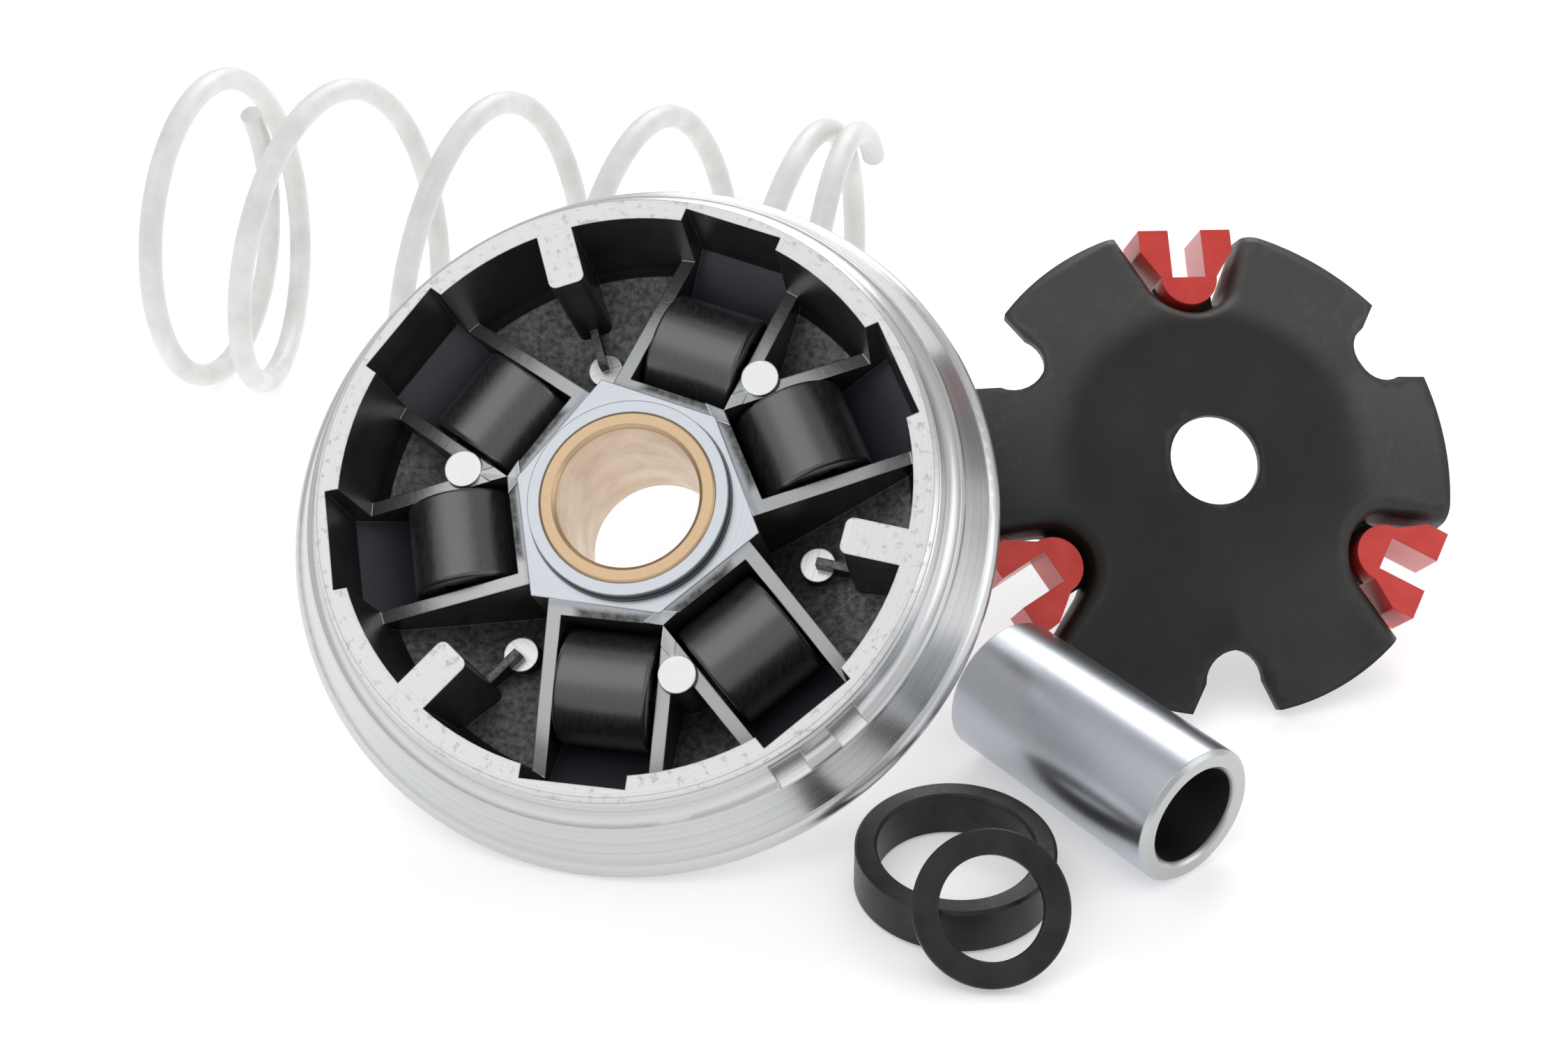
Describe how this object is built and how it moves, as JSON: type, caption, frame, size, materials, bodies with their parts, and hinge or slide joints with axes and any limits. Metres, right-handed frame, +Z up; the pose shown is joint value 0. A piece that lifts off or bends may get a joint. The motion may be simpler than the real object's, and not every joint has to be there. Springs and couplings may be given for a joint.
{
  "type": "cvt pulley set",
  "caption": "Laid-out scooter CVT variator kit: drum with rollers, ramp plate with slide pieces, boss sleeve, spacer rings and contra spring.",
  "frame": {"origin": "on the surface, under the middle of the kit's bounding box", "axes": "+X along the kit from the spring's far end to the ramp plate, +Y away from the front of the kit, +Z up"},
  "size_m": [0.212, 0.1956, 0.0723],
  "materials": {
    "cast_aluminium": "cast and turned, satin",
    "bronze": "sintered bronze, fine satin",
    "black_plastic": "moulded nylon, satin",
    "brass": "turned",
    "black_steel": "black phosphated pressing, satin",
    "red_plastic": "moulded nylon, semi-gloss",
    "ground_steel": "ground and plated",
    "dark_steel": "burnished, satin",
    "white_coating": "white coated wire"
  },
  "bodies": {
    "drum": {"drum_casting": "cast_aluminium", "drum_bush": "bronze"},
    "roller_1": {"roller_1_shell": "black_plastic", "roller_1_core": "brass"},
    "roller_2": {"roller_2_shell": "black_plastic", "roller_2_core": "brass"},
    "roller_3": {"roller_3_shell": "black_plastic", "roller_3_core": "brass"},
    "roller_4": {"roller_4_shell": "black_plastic", "roller_4_core": "brass"},
    "roller_5": {"roller_5_shell": "black_plastic", "roller_5_core": "brass"},
    "roller_6": {"roller_6_shell": "black_plastic", "roller_6_core": "brass"},
    "ramp_plate": {"ramp_plate": "black_steel"},
    "slide_piece_1": {"slide_piece_1": "red_plastic"},
    "slide_piece_2": {"slide_piece_2": "red_plastic"},
    "slide_piece_3": {"slide_piece_3": "red_plastic"},
    "boss_sleeve": {"boss_sleeve": "ground_steel"},
    "thick_ring": {"thick_ring": "dark_steel"},
    "thin_ring": {"thin_ring": "dark_steel"},
    "contra_spring": {"contra_spring": "white_coating"}
  },
  "joints": [
    {"name": "roller_1_ramp", "type": "slide", "parent": "drum", "child": "roller_1", "axis": [0.2331, 0.2167, 0.948], "range_m": [0, 0.0086]},
    {"name": "roller_2_ramp", "type": "slide", "parent": "drum", "child": "roller_2", "axis": [0.6956, -0.1779, 0.6961], "range_m": [0, 0.0086]},
    {"name": "roller_3_ramp", "type": "slide", "parent": "drum", "child": "roller_3", "axis": [-0.8964, -0.3683, 0.2465], "range_m": [0, 0.0086]},
    {"name": "roller_4_ramp", "type": "slide", "parent": "drum", "child": "roller_4", "axis": [-0.7298, 0.1016, 0.6761], "range_m": [0, 0.0086]},
    {"name": "roller_5_ramp", "type": "slide", "parent": "drum", "child": "roller_5", "axis": [0.4405, -0.8969, 0.0386], "range_m": [0, 0.0086]},
    {"name": "roller_6_ramp", "type": "slide", "parent": "drum", "child": "roller_6", "axis": [-0.1887, -0.9721, -0.1391], "range_m": [0, 0.0086]},
    {"name": "plate_slide", "type": "slide", "parent": "drum", "child": "ramp_plate", "axis": [1, 0, 0], "range_m": [0, 0.06]},
    {"name": "slide_piece_1_pull", "type": "slide", "parent": "ramp_plate", "child": "slide_piece_1", "axis": [-0.069, 0.7115, 0.6993], "range_m": [0, 0.01]},
    {"name": "slide_piece_2_pull", "type": "slide", "parent": "ramp_plate", "child": "slide_piece_2", "axis": [-0.8217, -0.4794, -0.3084], "range_m": [0, 0.01]},
    {"name": "slide_piece_3_pull", "type": "slide", "parent": "ramp_plate", "child": "slide_piece_3", "axis": [0.8907, -0.2321, -0.3909], "range_m": [0, 0.01]},
    {"name": "sleeve_slide", "type": "slide", "parent": "drum", "child": "boss_sleeve", "axis": [0.6115, -0.7912, 0], "range_m": [0, 0.05]},
    {"name": "thick_ring_slide", "type": "slide", "parent": "drum", "child": "thick_ring", "axis": [0, -1, 0], "range_m": [0, 0.05]},
    {"name": "thin_ring_pull", "type": "slide", "parent": "thick_ring", "child": "thin_ring", "axis": [0, -0.7193, 0.6947], "range_m": [0, 0.03]},
    {"name": "spring_slide", "type": "slide", "parent": "drum", "child": "contra_spring", "axis": [0, 1, 0], "range_m": [0, 0.06]}
  ],
  "couplings": [
    {"joint": "roller_2_ramp", "follows": "roller_1_ramp", "ratio": 1},
    {"joint": "roller_3_ramp", "follows": "roller_1_ramp", "ratio": 1},
    {"joint": "roller_4_ramp", "follows": "roller_1_ramp", "ratio": 1},
    {"joint": "roller_5_ramp", "follows": "roller_1_ramp", "ratio": 1},
    {"joint": "roller_6_ramp", "follows": "roller_1_ramp", "ratio": 1}
  ]
}
